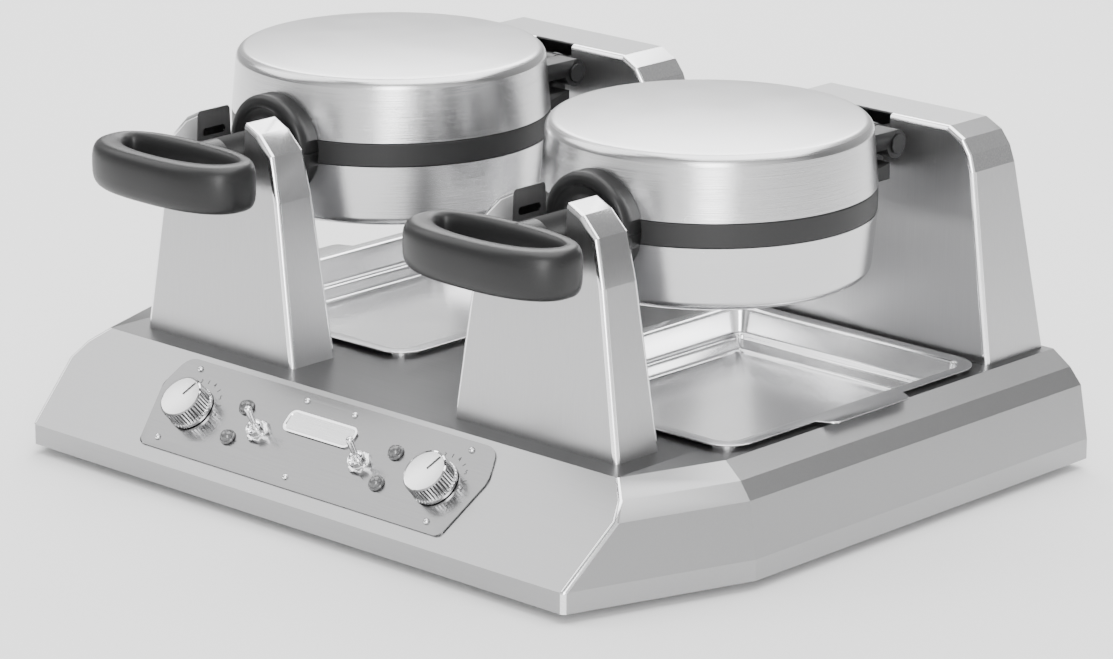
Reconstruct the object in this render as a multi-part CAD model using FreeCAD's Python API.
import FreeCAD, Part
import math
import os

# Double rotary waffle maker. Millimetres, +X to the right, +Y to the back, +Z up.
# While it is built, y = 0 is the base's front bottom edge and z = 0 is the bottom of the base's skirt.
# Each piece is moved into the object's own frame when it is written: the origin is then the centre
# of the footprint, at the plane of the feet.

Vector = FreeCAD.Vector
X_AXIS = Vector(1, 0, 0)
Y_AXIS = Vector(0, 1, 0)
Z_AXIS = Vector(0, 0, 1)
SIDES = (("left", -1.0), ("right", 1.0))

# ---------------------------------------------------------------- driving dimensions
SHEET = 1.2                  # stainless sheet of the base, pedestals, towers and drums
FOLD_RADIUS = 3.2            # outside radius of a fold in that sheet

DRUM_RADIUS = 102.0          # outside radius of a head at its parting band
DRUM_DRAFT = 3.6             # how much narrower the drum is at its shoulder
WALL_HEIGHT = 33.4           # straight wall, from the band to the shoulder
SHOULDER = 5.6               # shoulder, across and along
CROWN = 4.6                  # rise of the domed cap above the shoulder
BAND_HEIGHT = 15.4
BAND_GAP = 0.3               # between the band and the lid that rests above it

TRAY_INSET = 0.5             # the tray is this much narrower than the drum, each side
TRAY_GAP = 68.0              # between the two trays
DECK_MARGIN = 4.3            # flat deck outside each tray
SKIRT_HEIGHT = 13.0
DECK_HEIGHT = 66.0
SLOPE_DEPTH = 57.0           # from the front edge to where the slope meets the deck
FACET_WIDTH = 41.0           # front corner cut off, measured across
FACET_DEPTH = 120.0          # front corner cut off, measured front to back
BEND_TOP_INSET = 28.7        # the side's large bend, as three flats
BEND_MID_INSET = 15.1
BEND_MID_DROP = 9.0
BEND_LOW_INSET = 6.3
BEND_LOW_DROP = 19.0
FOOT_HEIGHT = 6.0            # feet below the skirt
FOOT_RADIUS = 13.0
FOOT_INSET = 62.0            # foot centres from the base's sides and back
FOOT_FRONT_Y = 82.0
FOOT_TAPER = 1.5             # a foot's bottom radius is smaller by this
FOOT_WEB = 3.0               # rubber between a foot's screw recess and the base plate
FOOT_RECESS = 4.5            # radius of the recess
FOOT_SCREW = 2.0             # radius of its screw
FOOT_SCREW_HEAD = 3.8
FOOT_SCREW_HEAD_HEIGHT = 2.2
FOOT_SCREW_LENGTH = 14.0
FOOT_NUT_RADIUS = 4.0
FOOT_NUT_HEIGHT = 3.0
BASE_PLATE_RISE = 2.0        # base plate above the skirt's bottom edge
WIRING_HOLE_HALF = 30.0      # hole in the deck under each tower
WIRING_HOLE_FRONT = 14.0
WIRING_HOLE_DEPTH = 20.0

PEDESTAL_SETBACK = 17.0      # pedestal behind the top of the slope
PEDESTAL_DEPTH = 38.0
PEDESTAL_LEAN = 5.4          # each of its front and back faces leans in by this
PEDESTAL_FOOT_HALF = 66.5
PEDESTAL_KNEE_HALF = 51.3
PEDESTAL_KNEE_DROP = 46.0    # below the pedestal's top
PEDESTAL_BEND_HALF = 44.8
PEDESTAL_BEND_DROP = 17.2
PEDESTAL_HORN_HALF = 33.0
PEDESTAL_HORN_DROP = 5.4
PEDESTAL_TOP_HALF = 22.0
PEDESTAL_ABOVE_AXIS = 25.5
NOTCH_HALF = 21.4            # half the width of the open notch between the horns
SLOT_LENGTH = 19.0           # vent slot in the inner wall of each horn
SLOT_WIDTH = 5.0
SLOT_ABOVE_AXIS = 11.5
SADDLE_TOP_DROP = 1.0        # top of the saddle below the stem's axis

COLLAR_GAP = 3.5             # pedestal to collar
COLLAR_REACH = 10.0          # collar's front face to the drum
COLLAR_RADIUS = 33.0
COLLAR_LENGTH = 30.0         # before it is cut to the drum's round wall
COLLAR_ROUND = 4.0
COLLAR_RIM = 7.0             # flat rim round the collar's dished face
COLLAR_DISH = 2.5
COLLAR_DISH_TAPER = 2.0
JOURNAL_RADIUS = 13.0        # the round stem that turns in the saddle
SPLIT_GAP = 0.15             # half of the gap between the two halves of the stem

HANDLE_GAP = 6.0             # handle to pedestal
HANDLE_WIDTH = 125.0
HANDLE_DEPTH = 58.0
HANDLE_THICKNESS = 30.0
HANDLE_BAR = 16.0            # width of the loop's bar, at its front and ends
HANDLE_OPENING_BACK = 17.0   # back of the opening behind the handle's middle
HANDLE_OPENING_BOW = 9.0     # the opening's back edge bows out by this
HANDLE_END_FLAT = 4.5        # the loop's ends are rounder than its depth by this
HANDLE_EDGE_RADIUS = 7.0
HANDLE_DROP = 2.0            # handle's middle below the stem's axis
TENON_RADIUS = 4.0
TENON_LENGTH = 20.0
TENON_END_GAP = 1.5          # end of the tenon to the bottom of its pocket
NECK_SINK = 9.0              # the neck starts this far inside the loop's back bar
NECK_END = 1.0               # end of the neck behind the pedestal's front plane
STEM_GAP = 1.2               # start of the collar's stem behind that plane

HINGE_REACH = 32.0           # hinge pin behind the drum
HINGE_RISE = 11.5            # hinge pin above the head's axis
HINGE_BOSS_RADIUS = 9.0
HINGE_PIN_RADIUS = 4.0
HINGE_ARM_OUTER = 36.0       # outer face of each lid arm from the head's middle
HINGE_ARM_INNER = 20.0
KNUCKLE_HALF = 18.5          # the bracket's knuckle between the arms
HINGE_GAP = 7.5              # hinge to tower
HINGE_ROOT = 20.0            # arms and bracket reach this far into the drum before they are cut
HINGE_ARM_LIFT = 2.0         # underside of the arms above the band
BRIDGE_REACH = 5.0           # bar that joins the two arms, behind the drum
BRACKET_HALF = 34.0
BRACKET_HEIGHT = 13.0        # from under the hinge boss to the bracket's bottom
BRACKET_TOP_GAP = 2.5        # bracket below the lid arms
BRACKET_PIN_GAP = 3.5        # back of the bracket in front of the pin's axis
KNUCKLE_FRONT = 12.0         # front of the knuckle's block before the pin's axis
PIN_END = 0.8                # pin's end beyond the outer face of an arm
PIN_HEAD_RADIUS = 6.0
PIN_HEAD_HEIGHT = 1.6
PIN_HEAD_SINK = 0.4
SHAFT_RADIUS = 7.0
BEARING_HOLE = 11.6          # radius of the hole in the tower's front wall
BEARING_FLANGE = 15.5        # radius of the flange behind that wall, below the window
BEARING_FLANGE_HEIGHT = 4.0
BEARING_FIT = 0.1            # bearing to its hole
BEARING_WALL_STEP = 0.6      # the barrel behind the flange is this much smaller than the hole
BEARING_LENGTH = 26.0        # barrel behind the tower's front wall
SHAFT_TAIL = 32.0            # end of the shaft behind that wall
STOP_RADIUS = 10.0           # collar on the end of the shaft
STOP_LENGTH = 5.0

TOWER_DEPTH = 55.0
TOWER_REAR_LEAN = 17.0
TOWER_FOOT_INSET = 2.8       # the tower's foot is this much narrower than the tray, each side
TOWER_KNEE_INSET = 15.2      # each side, at the top of its straight wall
TOWER_KNEE_DROP = 26.0
TOWER_BEND_INSET = 18.2
TOWER_BEND_DROP = 15.2
TOWER_SHOULDER_INSET = 24.2
TOWER_SHOULDER_DROP = 6.2
TOWER_CAP_INSET = 36.0
TOWER_ABOVE_AXIS = 24.3
TOWER_REAR_MARGIN = 3.0      # tower's back face in front of the base's back
TOWER_FLANGE = 12.0          # return flange round the tower's open back
WINDOW_HALF = 17.0
WINDOW_DEPTH = 8.3
TOWER_ROOF = 6.0             # roof left in front of the tower's open back
COVER_MARGIN = 4.0           # back cover inside the tower's outline
COVER_TOP_MARGIN = 6.0
COVER_SCREW_INSET = 6.0
COVER_SCREW_LOW = 11.0
COVER_SCREW_HIGH = 13.0
COVER_SLOTS = 6
COVER_SLOT_HALF = 26.0
COVER_SLOT_HEIGHT = 4.0
COVER_SLOT_PITCH = 9.0
COVER_SLOT_START = 0.42      # share of the cover's length below its vent slots

FLIP_CLEARANCE = 11.9        # a turning head above the tray's rim

TRAY_FRONT_GAP = 21.5        # pedestal to tray
TRAY_REAR_GAP = 5.5          # tray to tower
TRAY_SHEET = 1.0
TRAY_RIM_RISE = 3.4          # top of the rim above the deck
TRAY_RIM_WIDTH = 9.5
TRAY_CORNER = 20.0
TRAY_WALL_DEPTH = 17.0
TRAY_WALL_RUN = 3.5
TRAY_LEDGE = 6.0
TRAY_FLOOR_DEPTH = 25.0
TRAY_FLOOR_RUN = 2.0
TRAY_TAB_REACH = 11.5
TRAY_TAB_LENGTH = 70.0
TRAY_TAB_FLARE = 5.0
TRAY_TAB_OFFSET = -2.0       # tab's middle along the tray, forward of the middle when negative
TRAY_TAB_ROOT = 2.0          # the tab starts this far inside the rim's edge
TRAY_TAB_ROUND = 4.0
TRAY_WALL_CORNER = 6.0       # the wall's corners are rounder than the rim's inner corners by this
TRAY_SEAT_GAP = 0.1          # rim of the tray above the lip that carries it
TRAY_FIT = 1.5               # tray body to lip

PANEL_OFFSET = -6.5          # panel's middle from the base's middle
PANEL_SHEET = 1.0
PANEL_LOW = 9.5              # lower edge, measured up the slope
PANEL_HIGH = 74.0
PANEL_LOW_HALF = 130.0
PANEL_WIDE_HALF = 140.5
PANEL_WIDE_AT = 52.0
PANEL_CORNER_LOW = 5.0
PANEL_CORNER_HIGH = 34.0 / 3
PANEL_TOP_HALF = 133.0
PANEL_MIDLINE = 41.0         # knobs, switches and badge are set about this line up the slope
KNOB_X = 105.5
KNOB_RADIUS = 15.2
KNOB_FACE_RADIUS = 14.4
KNOB_HEIGHT = 13.5
KNOB_GAP = 0.8
KNOB_FLUTES = 40
FLUTE_RADIUS = 0.75
FLUTE_END = 0.8              # flutes stop this far from the knob's two ends
KNOB_BORE_DEPTH = 9.5
POINTER_HALF = 0.5           # half the width of the pointer's groove, and its depth
POINTER_ANGLE = 66.0         # where the knobs stand, from the panel's across direction
DIAL_SHAFT_RADIUS = 3.0
DIAL_SHAFT_TAIL = 10.0       # shaft below the slope's outer face
SLOPE_DIAL_HOLE = 5.0
PANEL_DIAL_HOLE = 4.0
THERMOSTAT_RADIUS = 16.0
THERMOSTAT_DEPTH = 24.0
SWITCH_X = 44.0
SWITCH_ABOVE = -2.0
BUSH_RADIUS = 5.5
BUSH_BORE = 3.0
BUSH_HEIGHT = 7.0            # above the panel
BUSH_FIT = 0.1               # bush to the panel's hole
BUSH_ROOM = 0.5              # bush to the slope's hole
BUSH_LIP = 0.5               # wall left at the mouth of the bush
PIVOT_HEIGHT = 3.0           # lever's pivot above the panel
SOCKET_DEPTH = 4.0           # socket below and above the pivot
SWITCH_CASE_HALF_X = 6.5
SWITCH_CASE_HALF_S = 10.0
SWITCH_CASE_DEPTH = 24.0
LEVER_LENGTH = 18.5
LEVER_ROOT_RADIUS = 1.6
LEVER_TIP_RADIUS = 2.4
LEVER_TILT = 18.0            # degrees either side of straight out
NUT_FLATS = 14.0
NUT_THICKNESS = 2.6
NUT_TURN = 10.0              # degrees
NUT_CONE_FOOT = 9.6          # cone that rounds off the nut's top corners
NUT_CONE_TOP = 6.8
NUT_CONE_HEIGHT = 2.8
LAMP_X = 64.5
LAMP_RADIUS = 5.2
LAMP_ABOVE = 11.2
LAMP_SEAT = 0.9              # the panel's hole is smaller than the bezel by this
LAMP_STEM_STEP = 1.0
LAMP_STEM_DEPTH = 17.0
LAMP_BEZEL = 1.2
LAMP_DOME_STEP = 0.7
BADGE_WIDTH = 58.0
BADGE_HEIGHT = 15.0
BADGE_ABOVE = 11.5
BADGE_CORNER = 5.0
BADGE_THICKNESS = 1.2
BADGE_ROUND = 0.5
PANEL_SCREW_DOME = 2.6
PANEL_SCREW_LENGTH = 6.0     # below the panel's face
PANEL_SCREW_TOP = 6.0        # screws inside the panel's upper edge
PANEL_SCREW_LOW = 7.0        # screws inside its lower edge
PANEL_SCREWS_UPPER = (-118.5, -23.0, 18.0, 116.0)
PANEL_SCREWS_LOWER = (-117.5, -4.0, 115.5)

PLATE_RADIUS = 95.0          # cast waffle plate
CAVITY_RADIUS = 89.0         # round waffle
CAVITY_DEPTH = 13.0
PLATE_FLOOR = 5.0
PLATE_GAP = 0.25             # half of the gap between the two plates' rims
CAVITY_DRAFT = 4.0
STUD_HEIGHT = 9.0
STUD_WIDTH = 15.0
STUD_PITCH = 25.0
STUD_DRAFT = 2.0
LUGS = 4                     # lugs that carry a plate in its housing
LUG_HALF = 7.0
LUG_ROOT = 3.0
LUG_ABOVE_BAND = 4.0
HEATER_RADIUS = 62.0
HEATER_TUBE = 4.0
HEATER_SINK = 0.7            # share of the tube's radius that stands above the plate
HEATER_GAP = 30.0            # degrees left open between the heater's ends
HEATER_START = 105.0
HEATER_TAIL = 12.0
BAND_ROUND = 1.0
BAND_FIT = 0.5               # band to waffle plate
PIN_CLEARANCE = 0.05         # radial, for each pin or shaft that turns in a bore
SCREW_HEAD = 3.2
SCREW_HEAD_HEIGHT = 1.8
SCREW_HEAD_ROUND = 1.0
SCREW_SHANK = 1.5
SCREW_LENGTH = 5.0
SCREW_FIT = 0.1

GLAND_HEIGHT = 32.0
GLAND_REACH = 14.0
GLAND_RADIUS = 11.0
GLAND_HOLE = 8.0
GLAND_FIT = 0.05
GLAND_BORE = 4.5
GLAND_NUT = 5.0
GLAND_DOME_FOOT = 1.5        # the dome's two ends are smaller than the nut by these
GLAND_DOME_TOP = 4.0
GLAND_TAIL = 8.0             # stem inside the back wall
GLAND_LOCKNUT = 4.0
TERMINAL_HALF = 28.0
TERMINAL_DEPTH = 22.0
TERMINAL_BACK_GAP = 38.0
TERMINAL_HEIGHT = 16.0
TERMINAL_WAYS = 5
TERMINAL_PITCH = 10.0
TERMINAL_WAY_RADIUS = 2.0
TERMINAL_WAY_DEPTH = 6.0

FOOT_SPACE_DROP = 4.0        # drops the hollow so that an upright's foot is open
BIG = 700.0                  # longer than anything here, for cutting through

# ---------------------------------------------------------------- dimensions that follow
tray_half = DRUM_RADIUS - TRAY_INSET
head_x = tray_half + TRAY_GAP / 2
base_half = head_x + tray_half + DECK_MARGIN + BEND_TOP_INSET
front_half = base_half - FACET_WIDTH
pedestal_front = SLOPE_DEPTH + PEDESTAL_SETBACK
pedestal_back = pedestal_front + PEDESTAL_DEPTH
collar_front = pedestal_back + COLLAR_GAP
head_y = collar_front + COLLAR_REACH + DRUM_RADIUS
pin_y = head_y + DRUM_RADIUS + HINGE_REACH
tower_front = pin_y + HINGE_BOSS_RADIUS + HINGE_GAP
tower_back = tower_front + TOWER_DEPTH
base_depth = tower_back + TOWER_REAR_MARGIN
overall_depth = base_depth + GLAND_REACH
shoulder_radius = DRUM_RADIUS - DRUM_DRAFT
shoulder_height = BAND_HEIGHT / 2 + WALL_HEIGHT
head_half_height = shoulder_height + SHOULDER + CROWN
sweep_radius = math.hypot(shoulder_radius, shoulder_height)
tray_rim_top = DECK_HEIGHT + TRAY_RIM_RISE
lip_height = TRAY_RIM_RISE - TRAY_SHEET - TRAY_SEAT_GAP
axis_z = tray_rim_top + FLIP_CLEARANCE + sweep_radius
pin_z = axis_z + HINGE_RISE
pedestal_top = axis_z + PEDESTAL_ABOVE_AXIS
tower_top = axis_z + TOWER_ABOVE_AXIS
tray_front = pedestal_back + TRAY_FRONT_GAP
tray_back = tower_front - TRAY_REAR_GAP
tray_y = (tray_front + tray_back) / 2
tray_length = tray_back - tray_front
slope_angle = math.degrees(math.atan2(DECK_HEIGHT - SKIRT_HEIGHT, SLOPE_DEPTH))
handle_y = pedestal_front - HANDLE_GAP - HANDLE_DEPTH / 2
tower_half = tray_half - TOWER_FOOT_INSET

pieces = {}


def keep(name, *shapes):
    """Files one node: the given solids, which stay separate if there are several."""
    pieces.setdefault(name, []).extend(shapes)


# ---------------------------------------------------------------- shape helpers
def box(x0, x1, y0, y1, z0, z1):
    return Part.makeBox(x1 - x0, y1 - y0, z1 - z0, Vector(x0, y0, z0))


def cylinder(radius, start, end):
    return Part.makeCylinder(radius, (end - start).Length, start, end - start)


def prism(points, direction):
    """A straight extrusion of a closed outline."""
    return Part.Face(Part.makePolygon(points + [points[0]])).extrude(direction)


def revolved(edges):
    """A solid turned about the Z axis from edges that start and end on that axis."""
    return Part.Face(Part.Wire(edges)).revolve(Vector(0, 0, 0), Z_AXIS, 360)


def ring(outer, inner, z0, z1):
    body = Part.makeCylinder(outer, z1 - z0, Vector(0, 0, z0))
    return body.cut(Part.makeCylinder(inner, z1 - z0 + 2, Vector(0, 0, z0 - 1)))


def one_solid(shape):
    """The single clean solid of a shape."""
    cleaned = shape.removeSplitter()
    return cleaned.Solids[0] if len(cleaned.Solids) == 1 else cleaned


def rounded_outline(half_x, half_y, corner, z, x=0.0, y=0.0):
    """A closed rectangle wire with round corners, lying flat at height z."""
    corner = min(corner, half_x - 1, half_y - 1)
    arcs = []
    for sign_x, sign_y, start in ((1, 1, 0), (-1, 1, 90), (-1, -1, 180), (1, -1, 270)):
        centre = Vector(x + sign_x * (half_x - corner), y + sign_y * (half_y - corner), z)
        circle = Part.Circle(centre, Z_AXIS, corner)
        first = math.radians(start)
        arcs.append(Part.Arc(circle, first, first + math.pi / 2).toShape())
    edges = []
    for number, arc in enumerate(arcs):
        following = arcs[(number + 1) % 4]
        edges.append(arc)
        edges.append(Part.makeLine(arc.Vertexes[-1].Point, following.Vertexes[0].Point))
    return Part.Wire(edges)


def inset_outline(points, distance):
    """A convex outline in (across, height), every side moved inwards by the distance."""
    count = len(points)
    result = []
    for i in range(count):
        lines = []
        for first, second in ((points[i - 1], points[i]), (points[i], points[(i + 1) % count])):
            run = (second[0] - first[0], second[1] - first[1])
            length = math.hypot(*run)
            normal = (-run[1] / length, run[0] / length)
            lines.append((first[0] + normal[0] * distance, first[1] + normal[1] * distance, run))
        (ax, az, arun), (bx, bz, brun) = lines
        cross = arun[0] * brun[1] - arun[1] * brun[0]
        step = ((bx - ax) * brun[1] - (bz - az) * brun[0]) / cross
        result.append((ax + arun[0] * step, az + arun[1] * step))
    return result


def cross_block(across, profile, shrink=0.0):
    """The block common to an outline seen from the front and a profile seen from the side."""
    wide = [Vector(x, -BIG, z) for x, z in inset_outline(across, shrink)]
    deep = [Vector(-BIG, y, z) for y, z in inset_outline(profile, shrink)]
    return prism(wide, Y_AXIS * 2 * BIG).common(prism(deep, X_AXIS * 2 * BIG))


def open_hollow(across, profile):
    """The space inside a sheet upright of that outline and profile, open at its foot."""
    space = cross_block(across, profile, SHEET)
    lower = cross_block([(x, z - FOOT_SPACE_DROP) for x, z in across],
                        [(y, z - FOOT_SPACE_DROP) for y, z in profile], SHEET)
    foot = box(-BIG, BIG, 0, BIG, DECK_HEIGHT - 1, DECK_HEIGHT + 20)
    return space.fuse(lower.common(foot))


def edges_where(shape, test):
    """The straight edges whose middle passes the test."""
    return [e for e in shape.Edges if len(e.Vertexes) == 2 and test(e.CenterOfMass, e)]


def inside_of(solid, wall, is_open):
    """The space inside a flat-sided solid with that wall, which runs out at each open face."""
    space = solid.copy()
    for face in solid.Faces:
        if not is_open(face):
            outward = face.normalAt(0, 0)
            start = face.CenterOfMass - outward * wall
            space = space.cut(Part.makeCylinder(2 * BIG, BIG, start, outward))
    return space


def on_slope(shape, x, up_slope, height=0.0):
    """Moves a shape made flat (x across, y up the slope, z outwards) onto the front slope."""
    moved = shape.copy()
    moved.translate(Vector(x, up_slope, height))
    moved.rotate(Vector(0, 0, 0), X_AXIS, slope_angle)
    moved.translate(Vector(0, 0, SKIRT_HEIGHT))
    return moved


def at_head(shape, sign):
    """Moves a shape made about a head's centre to its place."""
    moved = shape.copy()
    moved.translate(Vector(sign * head_x, head_y, axis_z))
    return moved


def screw(point, outward, length):
    """A pan-head screw: its head stands on the surface at point, its shank goes in."""
    unit = Vector(outward).normalize()
    head = cylinder(SCREW_HEAD, point, point + unit * SCREW_HEAD_HEIGHT)
    top = [e for e in head.Edges if (e.CenterOfMass - point).dot(unit) > SCREW_HEAD_HEIGHT - 0.1]
    head = head.makeFillet(SCREW_HEAD_ROUND, top)
    return head.fuse(cylinder(SCREW_SHANK, point - unit * length, point))


# ---------------------------------------------------------------- base shell
def base_section(z, inset):
    """The base's outline at one height, its sides and cut corners set in by inset."""
    slope_y = max(0.0, SLOPE_DEPTH * (z - SKIRT_HEIGHT) / (DECK_HEIGHT - SKIRT_HEIGHT))
    length = math.hypot(FACET_WIDTH, FACET_DEPTH)
    along_x = FACET_WIDTH / length
    along_y = FACET_DEPTH / length
    start_x = front_half - inset * along_y
    start_y = inset * along_x
    front_x = start_x + (slope_y - start_y) * along_x / along_y
    side_x = base_half - inset
    side_y = start_y + (side_x - start_x) * along_y / along_x
    half = [(front_x, slope_y), (side_x, side_y), (side_x, base_depth)]
    mirrored = [(-x, y) for x, y in reversed(half)]
    return [Vector(x, y, z) for x, y in half + mirrored]


def base_body():
    """The outside of the base: skirt, slope, cut corners, large bends and deck."""
    levels = [
        (0.0, 0.0),
        (SKIRT_HEIGHT, 0.0),
        (DECK_HEIGHT - BEND_LOW_DROP, BEND_LOW_INSET),
        (DECK_HEIGHT - BEND_MID_DROP, BEND_MID_INSET),
        (DECK_HEIGHT, BEND_TOP_INSET),
    ]
    sections = [base_section(z, inset) for z, inset in levels]
    faces = []
    for outline in (sections[0], sections[-1]):
        faces.append(Part.Face(Part.makePolygon(outline + [outline[0]])))
    for lower, upper in zip(sections, sections[1:]):
        for i in range(len(lower)):
            j = (i + 1) % len(lower)
            corners = [lower[i], lower[j], upper[j], upper[i], lower[i]]
            faces.append(Part.Face(Part.makePolygon(corners)))
    body = Part.Solid(Part.makeShell(faces))
    if body.Volume < 0:
        body.reverse()
    return body.removeSplitter()


def build_base():
    outer = base_body()

    def corner_fold(middle, edge):
        direction = edge.Vertexes[1].Point - edge.Vertexes[0].Point
        leans = abs(direction.z) > 5
        return leans and middle.y < SLOPE_DEPTH and abs(middle.x) > front_half / 2

    space = inside_of(outer, SHEET, lambda f: f.CenterOfMass.z < 0.01)
    shell = outer.makeFillet(FOLD_RADIUS, edges_where(outer, corner_fold)).cut(space)
    cuts = []
    lips = []
    for side, sign in SIDES:
        opening_x = tray_half - TRAY_RIM_WIDTH + TRAY_FIT + TRAY_SHEET
        opening_y = tray_length / 2 - TRAY_RIM_WIDTH + TRAY_FIT + TRAY_SHEET
        opening_corner = TRAY_CORNER - TRAY_RIM_WIDTH + TRAY_FIT + TRAY_SHEET
        depth = DECK_HEIGHT - 2 * SHEET
        x = sign * head_x
        hole = Part.Face(rounded_outline(opening_x, opening_y, opening_corner, depth, x, tray_y))
        cuts.append(hole.extrude(Vector(0, 0, 20)))
        lip = Part.Face(rounded_outline(opening_x + SHEET, opening_y + SHEET,
                                        opening_corner + SHEET, DECK_HEIGHT, x, tray_y))
        lips.append(lip.extrude(Vector(0, 0, lip_height)))
        # wiring hole in the deck, under the tower
        hole_front = tower_front + WIRING_HOLE_FRONT
        cuts.append(box(x - WIRING_HOLE_HALF, x + WIRING_HOLE_HALF, hole_front,
                        hole_front + WIRING_HOLE_DEPTH, depth, DECK_HEIGHT + 5))
        # holes for the dial shaft, the switch and the two lamps
        panel_x = PANEL_OFFSET + sign * KNOB_X
        dial = Part.makeCylinder(SLOPE_DIAL_HOLE, 20, Vector(0, 0, -10))
        cuts.append(on_slope(dial, panel_x, PANEL_MIDLINE))
        switch = Part.makeCylinder(BUSH_RADIUS + BUSH_ROOM, 20, Vector(0, 0, -10))
        cuts.append(on_slope(switch, PANEL_OFFSET + sign * SWITCH_X, PANEL_MIDLINE + SWITCH_ABOVE))
        for above in (-LAMP_ABOVE, LAMP_ABOVE):
            lamp = Part.makeCylinder(LAMP_RADIUS, 20, Vector(0, 0, -10))
            cuts.append(on_slope(lamp, PANEL_OFFSET + sign * LAMP_X, PANEL_MIDLINE + above))
    cuts.append(cylinder(GLAND_HOLE, Vector(0, base_depth - 8, GLAND_HEIGHT),
                         Vector(0, base_depth + 2, GLAND_HEIGHT)))
    shell = shell.fuse(lips).cut(cuts)
    keep("base_shell", one_solid(shell))


# ---------------------------------------------------------------- base plate, feet and gland
foot_places = [
    Vector(x, y, 0)
    for x in (-(base_half - FOOT_INSET), base_half - FOOT_INSET)
    for y in (FOOT_FRONT_Y, base_depth - FOOT_INSET)
]


def build_underside():
    outline = [Vector(p.x, p.y, BASE_PLATE_RISE) for p in base_section(0.0, SHEET)]
    for p in outline:
        p.y = min(max(p.y, SHEET), base_depth - SHEET)
    plate = prism(outline, Vector(0, 0, SHEET))
    feet = []
    screws = []
    for place in foot_places:
        bottom = place - Z_AXIS * FOOT_HEIGHT
        recess = FOOT_HEIGHT - FOOT_WEB
        seat = bottom + Z_AXIS * recess
        foot = Part.makeCone(FOOT_RADIUS - FOOT_TAPER, FOOT_RADIUS, FOOT_HEIGHT + BASE_PLATE_RISE,
                             bottom)
        foot = foot.cut(Part.makeCylinder(FOOT_RECESS, recess, bottom))
        bore = Part.makeCylinder(FOOT_SCREW + SCREW_FIT, 40, place - Z_AXIS * 20)
        feet.append(foot.cut(bore))
        plate = plate.cut(bore)
        head = Part.makeCylinder(FOOT_SCREW_HEAD, FOOT_SCREW_HEAD_HEIGHT,
                                 seat - Z_AXIS * FOOT_SCREW_HEAD_HEIGHT)
        shank = Part.makeCylinder(FOOT_SCREW, FOOT_SCREW_LENGTH, seat)
        nut = Part.makeCylinder(FOOT_NUT_RADIUS, FOOT_NUT_HEIGHT,
                                Vector(place.x, place.y, BASE_PLATE_RISE + SHEET))
        screws.append(head.fuse(shank).fuse(nut).removeSplitter())
    keep("base_plate", one_solid(plate))
    keep("feet", *[one_solid(f) for f in feet])
    keep("foot_screws", *[one_solid(s) for s in screws])

    rear = Vector(0, base_depth, GLAND_HEIGHT)
    nut_end = rear + Y_AXIS * GLAND_NUT
    nut = cylinder(GLAND_RADIUS, rear, nut_end)
    dome = Part.makeCone(GLAND_RADIUS - GLAND_DOME_FOOT, GLAND_RADIUS - GLAND_DOME_TOP,
                         GLAND_REACH - GLAND_NUT, nut_end, Y_AXIS)
    stem = cylinder(GLAND_HOLE - GLAND_FIT, rear - Y_AXIS * GLAND_TAIL, rear)
    lock = cylinder(GLAND_RADIUS, rear - Y_AXIS * (SHEET + GLAND_LOCKNUT), rear - Y_AXIS * SHEET)
    bore = cylinder(GLAND_BORE, rear - Y_AXIS * 20, rear + Y_AXIS * 20)
    keep("cord_gland", one_solid(nut.fuse([dome, stem, lock]).cut(bore)))

    block_z = BASE_PLATE_RISE + SHEET
    block_top = block_z + TERMINAL_HEIGHT
    block_back = base_depth - TERMINAL_BACK_GAP
    block = box(-TERMINAL_HALF, TERMINAL_HALF, block_back - TERMINAL_DEPTH, block_back,
                block_z, block_top)
    ways = []
    for i in range(TERMINAL_WAYS):
        x = (i - (TERMINAL_WAYS - 1) / 2) * TERMINAL_PITCH
        for share in (3 / 11, 8 / 11):
            place = Vector(x, block_back - TERMINAL_DEPTH * share, block_top - TERMINAL_WAY_DEPTH)
            ways.append(Part.makeCylinder(TERMINAL_WAY_RADIUS, TERMINAL_WAY_DEPTH + 1, place))
    keep("terminal_block", one_solid(block.cut(ways)))


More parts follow.
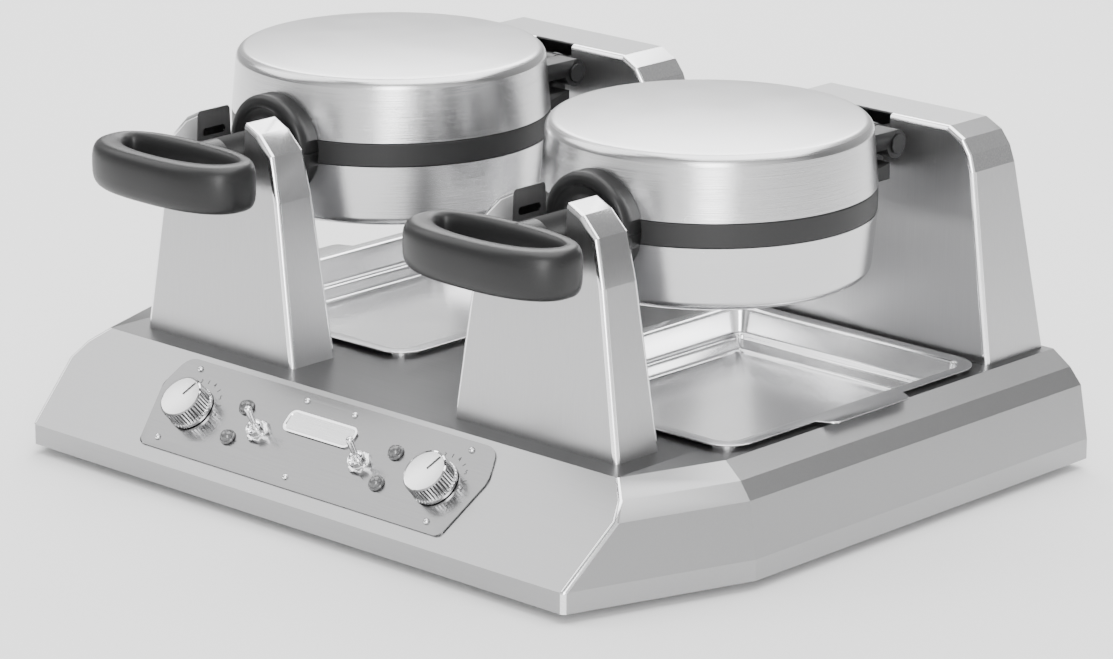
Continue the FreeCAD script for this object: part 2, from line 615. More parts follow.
# ---------------------------------------------------------------- front pedestals and saddles
def build_pedestals():
    half = [
        (PEDESTAL_FOOT_HALF, DECK_HEIGHT),
        (PEDESTAL_KNEE_HALF, pedestal_top - PEDESTAL_KNEE_DROP),
        (PEDESTAL_BEND_HALF, pedestal_top - PEDESTAL_BEND_DROP),
        (PEDESTAL_HORN_HALF, pedestal_top - PEDESTAL_HORN_DROP),
        (PEDESTAL_TOP_HALF, pedestal_top),
    ]
    across = half + [(-x, z) for x, z in reversed(half)]
    profile = [
        (pedestal_front, DECK_HEIGHT),
        (pedestal_back, DECK_HEIGHT),
        (pedestal_back - PEDESTAL_LEAN, pedestal_top),
        (pedestal_front + PEDESTAL_LEAN, pedestal_top),
    ]

    def outer_fold(middle, edge):
        direction = edge.Vertexes[1].Point - edge.Vertexes[0].Point
        return abs(direction.y) < 15 and middle.z > DECK_HEIGHT + 1 and abs(middle.x) > 5

    def channel(radius):
        round_part = cylinder(radius, Vector(0, 0, axis_z), Vector(0, 200, axis_z))
        return round_part.fuse(box(-radius, radius, 0, 200, axis_z, axis_z + BIG))

    block = cross_block(across, profile)
    block = block.makeFillet(FOLD_RADIUS, edges_where(block, outer_fold))
    hollow_space = open_hollow(across, profile).cut(channel(NOTCH_HALF + SHEET))
    shell = block.cut(channel(NOTCH_HALF)).cut(hollow_space)
    middle_y = (pedestal_front + pedestal_back) / 2
    slot_z = axis_z + SLOT_ABOVE_AXIS
    run = (SLOT_LENGTH - SLOT_WIDTH) / 2
    wide = NOTCH_HALF + 3
    for end in (-run, run):
        shell = shell.cut(cylinder(SLOT_WIDTH / 2, Vector(-wide, middle_y + end, slot_z),
                                   Vector(wide, middle_y + end, slot_z)))
    shell = shell.cut(box(-wide, wide, middle_y - run, middle_y + run,
                          slot_z - SLOT_WIDTH / 2, slot_z + SLOT_WIDTH / 2))

    lean = PEDESTAL_LEAN * (axis_z - DECK_HEIGHT) / (pedestal_top - DECK_HEIGHT)
    saddle = cylinder(NOTCH_HALF, Vector(0, pedestal_front + lean - 1, axis_z),
                      Vector(0, pedestal_back - lean + 1, axis_z))
    bore = cylinder(JOURNAL_RADIUS + PIN_CLEARANCE, Vector(0, 0, axis_z), Vector(0, 300, axis_z))
    above = box(-BIG, BIG, 0, BIG, axis_z - SADDLE_TOP_DROP, axis_z + BIG)
    saddle = saddle.cut([bore, above])
    saddle = saddle.cut(shell)
    for side, sign in SIDES:
        for name, shape in ((side + "_pedestal", shell), ("stem_saddles", saddle)):
            placed = one_solid(shape).copy()
            placed.translate(Vector(sign * head_x, 0, 0))
            keep(name, *placed.Solids)


# ---------------------------------------------------------------- rear towers, covers and bearings
def build_towers():
    rear_top = tower_back - TOWER_REAR_LEAN
    half = [
        (tower_half, DECK_HEIGHT),
        (tower_half - TOWER_KNEE_INSET, tower_top - TOWER_KNEE_DROP),
        (tower_half - TOWER_BEND_INSET, tower_top - TOWER_BEND_DROP),
        (tower_half - TOWER_SHOULDER_INSET, tower_top - TOWER_SHOULDER_DROP),
        (tower_half - TOWER_CAP_INSET, tower_top),
    ]
    across = half + [(-x, z) for x, z in reversed(half)]
    profile = [
        (tower_front, DECK_HEIGHT),
        (tower_back, DECK_HEIGHT),
        (rear_top, tower_top),
        (tower_front, tower_top),
    ]

    def outer_fold(middle, edge):
        direction = edge.Vertexes[1].Point - edge.Vertexes[0].Point
        return (abs(direction.y) < 25 and middle.z > DECK_HEIGHT + 1
                and middle.y < tower_front + 1)

    block = cross_block(across, profile)
    block = block.makeFillet(FOLD_RADIUS, edges_where(block, outer_fold))
    shell = block.cut(open_hollow(across, profile))
    # open back, inside a return flange
    opening = cross_block(across, [(tower_back - 40, DECK_HEIGHT + 1), (base_depth, DECK_HEIGHT + 1),
                                   (base_depth, tower_top), (rear_top - TOWER_ROOF, tower_top)],
                          TOWER_FLANGE)
    shell = shell.cut(opening.common(box(-BIG, BIG, rear_top - TOWER_ROOF, BIG, 0, BIG)))
    window = box(-WINDOW_HALF, WINDOW_HALF, tower_front - 1, tower_front + SHEET + 2.5,
                 tower_top - WINDOW_DEPTH, tower_top + 1)
    bearing_hole = cylinder(BEARING_HOLE, Vector(0, tower_front - 1, axis_z),
                            Vector(0, tower_front + SHEET + 0.5, axis_z))
    shell = shell.cut([window, bearing_hole])

    # back cover: a sheet that lies on the flange, in the plane of the leaning back
    lean = math.degrees(math.atan2(TOWER_REAR_LEAN, tower_top - DECK_HEIGHT))
    length = math.hypot(TOWER_REAR_LEAN, tower_top - DECK_HEIGHT)
    half_low = tower_half - COVER_MARGIN
    half_knee = half_low - TOWER_KNEE_INSET
    half_high = half_low - TOWER_CAP_INSET
    knee = length - TOWER_KNEE_DROP - COVER_MARGIN
    top = length - COVER_TOP_MARGIN
    outline = [
        Vector(-half_low, 0, COVER_MARGIN), Vector(half_low, 0, COVER_MARGIN),
        Vector(half_knee, 0, knee), Vector(half_high, 0, top),
        Vector(-half_high, 0, top), Vector(-half_knee, 0, knee),
    ]
    cover = prism(outline, Y_AXIS * SHEET)
    slots = []
    for i in range(COVER_SLOTS):
        z = length * COVER_SLOT_START + COVER_SLOT_PITCH * i
        slots.append(box(-COVER_SLOT_HALF, COVER_SLOT_HALF, -1, SHEET + 1, z, z + COVER_SLOT_HEIGHT))
    cover = cover.cut(slots)
    marks = []
    for half_x, z in ((half_low - COVER_SCREW_INSET, COVER_SCREW_LOW),
                      (half_high, length - COVER_SCREW_HIGH)):
        for x in (-half_x, half_x):
            marks.append(Vector(x, SHEET, z))
            hole = cylinder(SCREW_SHANK + SCREW_FIT, Vector(x, -1, z), Vector(x, SHEET + 1, z))
            cover = cover.cut(hole)
    screws = [screw(mark, Y_AXIS, SCREW_LENGTH) for mark in marks]
    holes = [cylinder(SCREW_SHANK + SCREW_FIT, mark - Y_AXIS * (SCREW_LENGTH + 1), mark)
             for mark in marks]
    place = FreeCAD.Placement(Vector(0, tower_back, DECK_HEIGHT),
                              FreeCAD.Rotation(X_AXIS, lean))
    for shape in [cover] + screws + holes:
        shape.Placement = place.multiply(shape.Placement)
    shell = shell.cut(holes)

    flange_y = tower_front + SHEET
    seat = Vector(0, flange_y, axis_z)
    bearing = cylinder(BEARING_HOLE - BEARING_FIT, seat - Y_AXIS * SHEET, seat)
    flange = cylinder(BEARING_FLANGE, seat, seat + Y_AXIS * BEARING_FLANGE_HEIGHT)
    barrel = cylinder(BEARING_HOLE - BEARING_WALL_STEP, seat, seat + Y_AXIS * BEARING_LENGTH)
    bore = cylinder(SHAFT_RADIUS + PIN_CLEARANCE, Vector(0, tower_front - 5, axis_z),
                    Vector(0, flange_y + 40, axis_z))
    bearing = bearing.fuse([flange, barrel]).cut(bore)
    for side, sign in SIDES:
        parts = [(side + "_tower", shell), ("tower_covers", cover), ("shaft_bearings", bearing)]
        parts += [("cover_screws", s) for s in screws]
        for name, shape in parts:
            placed = one_solid(shape).copy()
            placed.translate(Vector(sign * head_x, 0, 0))
            keep(name, *placed.Solids)


# ---------------------------------------------------------------- drip trays
def tray_cavity(grow):
    """The pressed hollow of a tray, grown by a sheet thickness on request."""
    half_x = tray_half - TRAY_RIM_WIDTH
    half_y = tray_length / 2 - TRAY_RIM_WIDTH
    corner = TRAY_CORNER - TRAY_RIM_WIDTH
    steps = [(0.0, -2.0), (TRAY_WALL_RUN, TRAY_WALL_DEPTH)]
    floor_in = TRAY_WALL_RUN + TRAY_LEDGE
    floor_steps = [(floor_in, TRAY_WALL_DEPTH - 1), (floor_in + TRAY_FLOOR_RUN, TRAY_FLOOR_DEPTH)]
    solids = []
    for stretch in (steps, floor_steps):
        wires = []
        for number, (inset, depth) in enumerate(stretch):
            lower = grow if number else 0.0
            wires.append(rounded_outline(half_x - inset + grow, half_y - inset + grow,
                                         corner + TRAY_WALL_CORNER + grow,
                                         tray_rim_top - depth - lower,
                                         0.0, tray_y))
        solids.append(Part.makeLoft(wires, True, True))
    return solids[0].fuse(solids[1])


def build_trays():
    under = tray_rim_top - TRAY_SHEET
    rim = Part.Face(rounded_outline(tray_half, tray_length / 2, TRAY_CORNER, under, 0, tray_y))
    rim = rim.extrude(Vector(0, 0, TRAY_SHEET))
    tab_y = tray_y + TRAY_TAB_OFFSET
    reach = tray_half + TRAY_TAB_REACH
    root = TRAY_TAB_LENGTH / 2 + TRAY_TAB_FLARE
    tip = TRAY_TAB_LENGTH / 2
    inside = tray_half - TRAY_TAB_ROOT
    tab = prism([
        Vector(inside, tab_y - root, under), Vector(tray_half, tab_y - root, under),
        Vector(reach, tab_y - tip, under), Vector(reach, tab_y + tip, under),
        Vector(tray_half, tab_y + root, under), Vector(inside, tab_y + root, under),
    ], Vector(0, 0, TRAY_SHEET))
    tips = [e for e in tab.Edges
            if abs(e.CenterOfMass.x - reach) < 0.01 and abs(e.Length - TRAY_SHEET) < 0.01]
    tab = tab.makeFillet(TRAY_TAB_ROUND, tips)
    below = box(-BIG, BIG, 0, BIG, 0, tray_rim_top)
    body = rim.fuse(tab).fuse(tray_cavity(TRAY_SHEET).common(below)).cut(tray_cavity(0.0))
    body = one_solid(body)
    for side, sign in SIDES:
        placed = body if sign > 0 else body.mirror(Vector(0, 0, 0), X_AXIS)
        placed = placed.copy()
        placed.translate(Vector(sign * head_x, 0, 0))
        keep(side + "_drip_tray", *placed.Solids)


# ---------------------------------------------------------------- control panel
def panel_outline(z):
    """The plate's outline: it widens a little up the slope, then turns in to its top edge."""
    half = [
        (PANEL_LOW_HALF, PANEL_LOW),
        (PANEL_WIDE_HALF, PANEL_WIDE_AT),
        (PANEL_TOP_HALF, PANEL_HIGH),
    ]
    return [Vector(x, s, z) for x, s in half] + [Vector(-x, s, z) for x, s in reversed(half)]


def build_panel():
    plate = prism(panel_outline(0.0), Vector(0, 0, PANEL_SHEET))
    upright = [e for e in plate.Edges if abs(e.Length - PANEL_SHEET) < 0.01]
    low = [e for e in upright if e.CenterOfMass.y < PANEL_LOW + 1]
    plate = plate.makeFillet(PANEL_CORNER_LOW, low)
    high = [e for e in plate.Edges
            if abs(e.Length - PANEL_SHEET) < 0.01 and e.CenterOfMass.y > PANEL_WIDE_AT - 1
            and abs(e.Vertexes[0].X - e.Vertexes[1].X) < 0.01]
    plate = plate.makeFillet(PANEL_CORNER_HIGH, high)
    holes = []
    for side, sign in SIDES:
        dial = Vector(sign * KNOB_X, PANEL_MIDLINE, -1)
        switch = Vector(sign * SWITCH_X, PANEL_MIDLINE + SWITCH_ABOVE, -1)
        holes.append(Part.makeCylinder(PANEL_DIAL_HOLE, 4, dial))
        holes.append(Part.makeCylinder(BUSH_RADIUS + BUSH_FIT, 4, switch))
        for above in (-LAMP_ABOVE, LAMP_ABOVE):
            centre = Vector(sign * LAMP_X, PANEL_MIDLINE + above, -1)
            holes.append(Part.makeCylinder(LAMP_RADIUS - LAMP_SEAT, 4, centre))
    spots = [(x, PANEL_HIGH - PANEL_SCREW_TOP) for x in PANEL_SCREWS_UPPER]
    spots += [(x, PANEL_LOW + PANEL_SCREW_LOW) for x in PANEL_SCREWS_LOWER]
    screws = []
    for x, s in spots:
        holes.append(Part.makeCylinder(SCREW_SHANK, 4, Vector(x, s, -1)))
        head = Part.makeSphere(PANEL_SCREW_DOME, Vector(0, 0, 0), Z_AXIS, 0, 90, 360)
        head.scale(0.8)
        head.translate(Vector(x, s, PANEL_SHEET))
        shank = Part.makeCylinder(SCREW_SHANK, PANEL_SCREW_LENGTH,
                                  Vector(x, s, PANEL_SHEET - PANEL_SCREW_LENGTH))
        screws.append(on_slope(head.fuse(shank), PANEL_OFFSET, 0))
    keep("control_panel", one_solid(on_slope(plate.cut(holes), PANEL_OFFSET, 0)))
    shell = pieces["base_shell"][0]
    pieces["base_shell"] = [one_solid(shell.cut(screws))]
    keep("panel_screws", *[one_solid(s) for s in screws])

    badge = Part.Face(rounded_outline(BADGE_WIDTH / 2, BADGE_HEIGHT / 2, BADGE_CORNER, 0.0))
    badge = badge.extrude(Vector(0, 0, BADGE_THICKNESS))
    top = [e for e in badge.Edges if e.CenterOfMass.z > BADGE_THICKNESS - 0.1]
    badge = badge.makeFillet(BADGE_ROUND, top)
    badge = on_slope(badge, PANEL_OFFSET, PANEL_MIDLINE + BADGE_ABOVE, PANEL_SHEET)
    keep("badge", one_solid(badge))


def knob_shape():
    body = Part.makeCone(KNOB_RADIUS, KNOB_FACE_RADIUS, KNOB_HEIGHT)
    grooves = []
    for i in range(KNOB_FLUTES):
        angle = 2 * math.pi * i / KNOB_FLUTES
        way = Vector(math.cos(angle), math.sin(angle), 0)
        foot = way * KNOB_RADIUS + Z_AXIS * FLUTE_END
        head = way * KNOB_FACE_RADIUS + Z_AXIS * (KNOB_HEIGHT - FLUTE_END)
        grooves.append(cylinder(FLUTE_RADIUS, foot, head))
    body = body.cut(grooves)
    bore = Part.makeCylinder(DIAL_SHAFT_RADIUS, KNOB_BORE_DEPTH)
    pointer = box(0, KNOB_FACE_RADIUS + 1, -POINTER_HALF, POINTER_HALF,
                  KNOB_HEIGHT - POINTER_HALF, KNOB_HEIGHT + 1)
    return one_solid(body.cut([bore, pointer]))


def lever_shape():
    """A bat-handle lever about its pivot, pointing straight out."""
    ball = Part.makeSphere(BUSH_BORE - PIN_CLEARANCE)
    rod_length = LEVER_LENGTH - LEVER_TIP_RADIUS
    rod = Part.makeCone(LEVER_ROOT_RADIUS, LEVER_TIP_RADIUS, rod_length)
    tip = Part.makeSphere(LEVER_TIP_RADIUS, Vector(0, 0, rod_length))
    return one_solid(ball.fuse([rod, tip]))


def build_dial(side, x):
    """One knob, its shaft and the thermostat behind the slope."""
    knob = knob_shape()
    knob.rotate(Vector(0, 0, 0), Z_AXIS, POINTER_ANGLE)
    seat = PANEL_SHEET + KNOB_GAP
    keep(side + "_knob", on_slope(knob, x, PANEL_MIDLINE, seat))
    shaft = Part.makeCylinder(DIAL_SHAFT_RADIUS, seat + KNOB_BORE_DEPTH + DIAL_SHAFT_TAIL,
                              Vector(0, 0, -DIAL_SHAFT_TAIL))
    keep(side + "_dial_shaft", on_slope(shaft, x, PANEL_MIDLINE))
    body = Part.makeCylinder(THERMOSTAT_RADIUS, THERMOSTAT_DEPTH,
                             Vector(0, 0, -SHEET - THERMOSTAT_DEPTH))
    bore = Part.makeCylinder(DIAL_SHAFT_RADIUS + PIN_CLEARANCE, DIAL_SHAFT_TAIL,
                             Vector(0, 0, -DIAL_SHAFT_TAIL - PIN_CLEARANCE))
    keep(side + "_thermostat", one_solid(on_slope(body.cut(bore), x, PANEL_MIDLINE)))


def build_switch(side, x):
    """One toggle switch: its case and bush, the nut on the panel, and the lever."""
    up_slope = PANEL_MIDLINE + SWITCH_ABOVE
    pivot = PANEL_SHEET + PIVOT_HEIGHT
    case = box(-SWITCH_CASE_HALF_X, SWITCH_CASE_HALF_X, -SWITCH_CASE_HALF_S, SWITCH_CASE_HALF_S,
               -SHEET - SWITCH_CASE_DEPTH, -SHEET)
    bush = Part.makeCylinder(BUSH_RADIUS, PANEL_SHEET + BUSH_HEIGHT + SHEET, Vector(0, 0, -SHEET))
    socket = Part.makeCylinder(BUSH_BORE, 2 * SOCKET_DEPTH, Vector(0, 0, pivot - SOCKET_DEPTH))
    mouth = Part.makeCone(BUSH_BORE, BUSH_RADIUS - BUSH_LIP, SOCKET_DEPTH, Vector(0, 0, pivot))
    case = case.fuse(bush).cut([socket, mouth])
    keep(side + "_switch_body", one_solid(on_slope(case, x, up_slope)))
    corners = []
    reach = NUT_FLATS / 2 / math.cos(math.pi / 6)
    for i in range(6):
        angle = math.radians(60 * i + NUT_TURN)
        corners.append(Vector(reach * math.cos(angle), reach * math.sin(angle), PANEL_SHEET))
    nut = prism(corners, Vector(0, 0, NUT_THICKNESS))
    round_off = Part.makeCone(NUT_CONE_FOOT, NUT_CONE_TOP, NUT_CONE_HEIGHT,
                              Vector(0, 0, PANEL_SHEET))
    nut = nut.common(round_off).cut(Part.makeCylinder(BUSH_RADIUS, PANEL_SHEET + BUSH_HEIGHT))
    keep("switch_nuts", one_solid(on_slope(nut, x, up_slope)))
    lever = lever_shape()
    lever.rotate(Vector(0, 0, 0), X_AXIS, -LEVER_TILT)
    keep(side + "_switch_lever", on_slope(lever, x, up_slope, pivot))


def build_lamp(x, up_slope):
    stem = Part.makeCylinder(LAMP_RADIUS - LAMP_STEM_STEP, LAMP_STEM_DEPTH + PANEL_SHEET,
                             Vector(0, 0, -LAMP_STEM_DEPTH))
    bezel = Part.makeCylinder(LAMP_RADIUS, LAMP_BEZEL, Vector(0, 0, PANEL_SHEET))
    dome = Part.makeSphere(LAMP_RADIUS - LAMP_DOME_STEP, Vector(0, 0, 2 * PANEL_SHEET),
                           Z_AXIS, 0, 90, 360)
    keep("pilot_lamps", one_solid(on_slope(stem.fuse([bezel, dome]), x, up_slope)))


def build_controls():
    for side, sign in SIDES:
        build_dial(side, PANEL_OFFSET + sign * KNOB_X)
        build_switch(side, PANEL_OFFSET + sign * SWITCH_X)
        for above in (-LAMP_ABOVE, LAMP_ABOVE):
            build_lamp(PANEL_OFFSET + sign * LAMP_X, PANEL_MIDLINE + above)


# ---------------------------------------------------------------- heads
def drum_profile(wall):
    """Half outline of an upper housing, from the rim up over the shoulder to the crown."""
    rim = BAND_HEIGHT / 2
    base = Vector(DRUM_RADIUS - wall, 0, rim)
    bend = Vector(shoulder_radius - wall, 0, shoulder_height)
    round_x = shoulder_radius - SHOULDER * 0.29 - wall * 0.8
    round_z = shoulder_height + SHOULDER * 0.71 - wall * 0.6
    cap = Vector(shoulder_radius - SHOULDER, 0, shoulder_height + SHOULDER - wall)
    top = Vector(0, 0, head_half_height - wall)
    crown_radius = (cap.x ** 2 + CROWN ** 2) / (2 * CROWN)
    drop = crown_radius - math.sqrt(crown_radius ** 2 - (cap.x / 2) ** 2)
    half_way = Vector(cap.x / 2, 0, top.z - drop)
    return [
        Part.makeLine(Vector(0, 0, rim), base),
        Part.makeLine(base, bend),
        Part.Arc(bend, Vector(round_x, 0, round_z), cap).toShape(),
        Part.Arc(cap, half_way, top).toShape(),
        Part.makeLine(top, Vector(0, 0, rim)),
    ]


def waffle_plate():
    """The upper cast plate, cavity downwards: its rim is at the parting plane."""
    top = CAVITY_DEPTH + PLATE_FLOOR
    floor_radius = CAVITY_RADIUS - CAVITY_DRAFT
    plate = Part.makeCylinder(PLATE_RADIUS, top - PLATE_GAP, Vector(0, 0, PLATE_GAP))
    cavity = Part.makeCone(CAVITY_RADIUS, floor_radius, CAVITY_DEPTH - PLATE_GAP,
                           Vector(0, 0, PLATE_GAP))
    plate = plate.cut(cavity)
    studs = []
    count = int(CAVITY_RADIUS // STUD_PITCH) + 1
    for i in range(-count, count + 1):
        for j in range(-count, count + 1):
            x = (i + 0.5) * STUD_PITCH
            y = (j + 0.5) * STUD_PITCH
            corner = STUD_WIDTH * math.sqrt(0.5)
            if math.hypot(x, y) + corner < floor_radius:
                wires = []
                for half, z in ((STUD_WIDTH / 2 - STUD_DRAFT, CAVITY_DEPTH - STUD_HEIGHT),
                                (STUD_WIDTH / 2, CAVITY_DEPTH + 1)):
                    corners = [Vector(x - half, y - half, z), Vector(x + half, y - half, z),
                               Vector(x + half, y + half, z), Vector(x - half, y + half, z)]
                    wires.append(Part.makePolygon(corners + [corners[0]]))
                studs.append(Part.makeLoft(wires, True, True))
    inside = revolved(drum_profile(SHEET))
    lugs = []
    for i in range(LUGS):
        lug = box(PLATE_RADIUS - LUG_ROOT, DRUM_RADIUS, -LUG_HALF, LUG_HALF,
                  BAND_HEIGHT / 2 + LUG_ABOVE_BAND, top)
        lug.rotate(Vector(0, 0, 0), Z_AXIS, 360 / LUGS * (i + 0.5))
        lugs.append(lug.common(inside))
    return one_solid(plate.fuse(studs + lugs).cut(heater_shape()))


def heater_shape():
    """A tubular element bent into a ring behind the plate, with its two terminal ends."""
    z = CAVITY_DEPTH + PLATE_FLOOR + HEATER_TUBE * HEATER_SINK
    torus = Part.makeTorus(HEATER_RADIUS, HEATER_TUBE, Vector(0, 0, z), Z_AXIS, 0, 360,
                           360 - HEATER_GAP)
    torus.rotate(Vector(0, 0, z), Z_AXIS, HEATER_START)
    ends = []
    for angle in (HEATER_START, HEATER_START - HEATER_GAP):
        turn = math.radians(angle)
        point = Vector(HEATER_RADIUS * math.cos(turn), HEATER_RADIUS * math.sin(turn), z)
        ends.append(Part.makeSphere(HEATER_TUBE, point))
        ends.append(cylinder(HEATER_TUBE, point, point + Z_AXIS * HEATER_TAIL))
    return one_solid(torus.fuse(ends))


def flipped(shape):
    """The same shape for the lower half: turned upside down about the head's own stem axis."""
    turned = shape.copy()
    turned.rotate(Vector(0, 0, 0), Y_AXIS, 180)
    return turned


def handle_outline(half_x, half_y, z):
    """A closed oval of four tangent arcs: long ones in front and behind, short ones at the ends."""
    end_radius = half_y - HANDLE_END_FLAT
    reach = half_x - end_radius
    long_radius = (reach ** 2 + half_y ** 2 - end_radius ** 2) / (2 * HANDLE_END_FLAT)
    turn = math.atan2(long_radius - half_y, reach)
    corner_x = reach + end_radius * math.cos(turn)
    corner_y = end_radius * math.sin(turn)
    right_front = Vector(corner_x, -corner_y, z)
    right_back = Vector(corner_x, corner_y, z)
    left_back = Vector(-corner_x, corner_y, z)
    left_front = Vector(-corner_x, -corner_y, z)
    arcs = [
        Part.Arc(left_front, Vector(0, -half_y, z), right_front),
        Part.Arc(right_front, Vector(half_x, 0, z), right_back),
        Part.Arc(right_back, Vector(0, half_y, z), left_back),
        Part.Arc(left_back, Vector(-half_x, 0, z), left_front),
    ]
    return Part.Face(Part.Wire([arc.toShape() for arc in arcs]))


def handle_shape():
    """A rounded closed loop for the whole hand, with a round neck and a tenon behind it."""
    half_x = HANDLE_WIDTH / 2
    half_y = HANDLE_DEPTH / 2
    z0 = -HANDLE_THICKNESS / 2 - HANDLE_DROP
    loop = handle_outline(half_x, half_y, z0).extrude(Vector(0, 0, HANDLE_THICKNESS))
    rims = [e for e in loop.Edges if abs(e.Vertexes[0].Z - e.Vertexes[-1].Z) < HANDLE_THICKNESS / 2]
    loop = loop.makeFillet(HANDLE_EDGE_RADIUS, rims)
    end = Vector(half_x - HANDLE_BAR, HANDLE_OPENING_BACK - HANDLE_OPENING_BOW, z0 - 1)
    other = Vector(-end.x, end.y, end.z)
    front = Part.Arc(other, Vector(0, HANDLE_BAR - half_y, end.z), end).toShape()
    back = Part.Arc(end, Vector(0, HANDLE_OPENING_BACK, end.z), other).toShape()
    opening = Part.Face(Part.Wire([front, back]))
    loop = loop.cut(opening.extrude(Vector(0, 0, HANDLE_THICKNESS + 2)))
    neck_start = Vector(0, half_y - NECK_SINK, 0)
    neck_end = Vector(0, half_y + HANDLE_GAP + NECK_END, 0)
    neck = cylinder(JOURNAL_RADIUS, neck_start, neck_end)
    middle = Vector(0, 0, JOURNAL_RADIUS / 2)
    tenon = cylinder(TENON_RADIUS, neck_end + middle, neck_end + middle + Y_AXIS * TENON_LENGTH)
    handle = loop.fuse([neck, tenon])
    handle.translate(Vector(0, handle_y - head_y, 0))
    return one_solid(handle)


def collar_shape(housing_solid):
    """Upper half of the front collar: a round flange against the drum, and a half stem."""
    face_y = collar_front - head_y
    stem_start = pedestal_front + STEM_GAP - head_y
    flange = cylinder(COLLAR_RADIUS, Vector(0, face_y, 0), Vector(0, face_y + COLLAR_LENGTH, 0))
    rim = [e for e in flange.Edges if e.CenterOfMass.y < face_y + 1]
    flange = flange.makeFillet(COLLAR_ROUND, rim)
    dish_radius = COLLAR_RADIUS - COLLAR_RIM
    dish = Part.makeCone(dish_radius, dish_radius - COLLAR_DISH_TAPER, COLLAR_DISH,
                         Vector(0, face_y, 0), Y_AXIS)
    stem = cylinder(JOURNAL_RADIUS, Vector(0, stem_start, 0), Vector(0, face_y + 8, 0))
    band_space = Part.makeCylinder(DRUM_RADIUS + BAND_GAP, BAND_HEIGHT / 2)
    collar = flange.cut(dish).fuse(stem).cut([band_space, housing_solid])
    collar = collar.common(box(-BIG, BIG, -BIG, BIG, SPLIT_GAP, BIG))
    return collar, stem_start


def hinge_shapes(housing_solid):
    """The rear hinge: two arms on the lid, a bracket on the lower half, its pin and the shaft."""
    hinge_y = pin_y - head_y
    root_y = DRUM_RADIUS - HINGE_ROOT
    boss_top = HINGE_RISE + HINGE_BOSS_RADIUS
    boss_bottom = HINGE_RISE - HINGE_BOSS_RADIUS
    arm_bottom = BAND_HEIGHT / 2 + HINGE_ARM_LIFT
    arms = []
    for sign in (-1, 1):
        x0, x1 = sorted((sign * HINGE_ARM_INNER, sign * HINGE_ARM_OUTER))
        web = box(x0, x1, root_y, hinge_y, arm_bottom, boss_top)
        boss = cylinder(HINGE_BOSS_RADIUS, Vector(x0, hinge_y, HINGE_RISE),
                        Vector(x1, hinge_y, HINGE_RISE))
        arms.append(web.fuse(boss))
    bridge = box(-HINGE_ARM_OUTER, HINGE_ARM_OUTER, root_y, DRUM_RADIUS + BRIDGE_REACH,
                 arm_bottom, boss_top)
    far_left = Vector(-BIG, hinge_y, HINGE_RISE)
    far_right = Vector(BIG, hinge_y, HINGE_RISE)
    hole = cylinder(HINGE_PIN_RADIUS + PIN_CLEARANCE, far_left, far_right)
    arms = bridge.fuse(arms).cut([hole, housing_solid])

    low = boss_bottom - BRACKET_HEIGHT
    bracket = box(-BRACKET_HALF, BRACKET_HALF, root_y, hinge_y - BRACKET_PIN_GAP, low,
                  boss_bottom - BRACKET_TOP_GAP)
    knuckle = box(-KNUCKLE_HALF, KNUCKLE_HALF, hinge_y - KNUCKLE_FRONT, hinge_y + HINGE_BOSS_RADIUS,
                  low, HINGE_RISE)
    barrel = cylinder(HINGE_BOSS_RADIUS, Vector(-KNUCKLE_HALF, hinge_y, HINGE_RISE),
                      Vector(KNUCKLE_HALF, hinge_y, HINGE_RISE))
    shaft_start = Vector(0, hinge_y - BRACKET_PIN_GAP, 0)
    shaft_end = Vector(0, tower_front + SHEET + SHAFT_TAIL - head_y, 0)
    shaft = cylinder(SHAFT_RADIUS, shaft_start, shaft_end)
    pin_hole = cylinder(HINGE_PIN_RADIUS, far_left, far_right)
    band_space = Part.makeCylinder(DRUM_RADIUS, BAND_HEIGHT + 10, Vector(0, 0, -BAND_HEIGHT / 2))
    bracket = bracket.fuse([knuckle, barrel])
    bracket = bracket.cut([shaft, pin_hole, band_space, flipped(housing_solid)])

    shaft = shaft.fuse(cylinder(STOP_RADIUS, shaft_end - Y_AXIS * STOP_LENGTH, shaft_end))
    pin_half = HINGE_ARM_OUTER + PIN_END
    pin = cylinder(HINGE_PIN_RADIUS, Vector(-pin_half, hinge_y, HINGE_RISE),
                   Vector(pin_half, hinge_y, HINGE_RISE))
    heads = []
    for sign in (-1, 1):
        inner = Vector(sign * (pin_half - PIN_HEAD_SINK), hinge_y, HINGE_RISE)
        heads.append(cylinder(PIN_HEAD_RADIUS, inner, inner + X_AXIS * sign * PIN_HEAD_HEIGHT))
    return arms, bracket, pin.fuse(heads), shaft


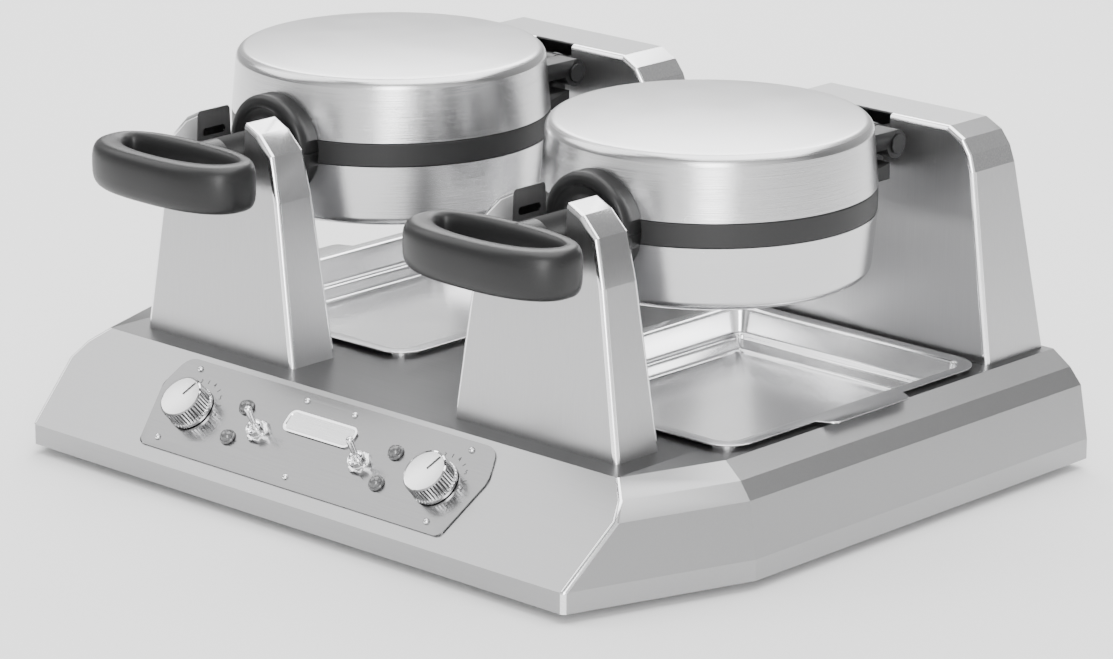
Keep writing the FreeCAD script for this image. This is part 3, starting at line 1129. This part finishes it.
def build_heads():
    housing_solid = revolved(drum_profile(0.0))
    housing = housing_solid.cut(revolved(drum_profile(SHEET)))
    plate = waffle_plate()
    heater = heater_shape()
    band = ring(DRUM_RADIUS, PLATE_RADIUS + BAND_FIT, -BAND_HEIGHT / 2, BAND_HEIGHT / 2 - BAND_GAP)
    band_edges = [e for e in band.Edges
                  if len(e.Vertexes) == 1 and abs(e.Length / 2 / math.pi - DRUM_RADIUS) < 0.1]
    band = band.makeFillet(BAND_ROUND, band_edges)

    # front collar, in two halves, and the handle
    upper_collar, stem_start = collar_shape(housing_solid)
    lower_collar = flipped(upper_collar)
    pocket = Vector(0, stem_start - 1, JOURNAL_RADIUS / 2)
    upper_collar = upper_collar.cut(cylinder(TENON_RADIUS, pocket,
                                             pocket + Y_AXIS * (TENON_LENGTH + TENON_END_GAP)))

    handle = handle_shape()
    arms, bracket, pin, shaft = hinge_shapes(housing_solid)
    for side, sign in SIDES:
        shapes = [
            ("upper_housing", housing), ("lower_housing", flipped(housing)),
            ("upper_waffle_plate", plate), ("lower_waffle_plate", flipped(plate)),
            ("upper_heater", heater), ("lower_heater", flipped(heater)),
            ("parting_band", band), ("upper_collar", upper_collar),
            ("lower_collar", lower_collar), ("handle", handle), ("lid_hinge_arms", arms),
            ("hinge_bracket", bracket), ("hinge_pin", pin), ("turning_shaft", shaft),
        ]
        for name, shape in shapes:
            keep(side + "_" + name, *at_head(one_solid(shape), sign).Solids)


# ---------------------------------------------------------------- build and write
def write_all():
    os.makedirs("parts", exist_ok=True)
    for name, solids in pieces.items():
        shape = solids[0] if len(solids) == 1 else Part.makeCompound(solids)
        placed = shape.copy()
        placed.translate(Vector(0, -overall_depth / 2, FOOT_HEIGHT))
        placed.exportStep(os.path.join("parts", name + ".step"))


build_base()
build_underside()
build_pedestals()
build_towers()
build_trays()
build_panel()
build_controls()
build_heads()
write_all()

print("nodes", len(pieces), "solids", sum(len(solids) for solids in pieces.values()))
print("head centre x", head_x, "y", round(head_y - overall_depth / 2, 3),
      "z", round(axis_z + FOOT_HEIGHT, 3))
print("hinge pin y", round(pin_y - overall_depth / 2, 3), "z", round(pin_z + FOOT_HEIGHT, 3))
print("width", 2 * base_half, "depth", overall_depth,
      "height", round(FOOT_HEIGHT + axis_z + head_half_height, 3))
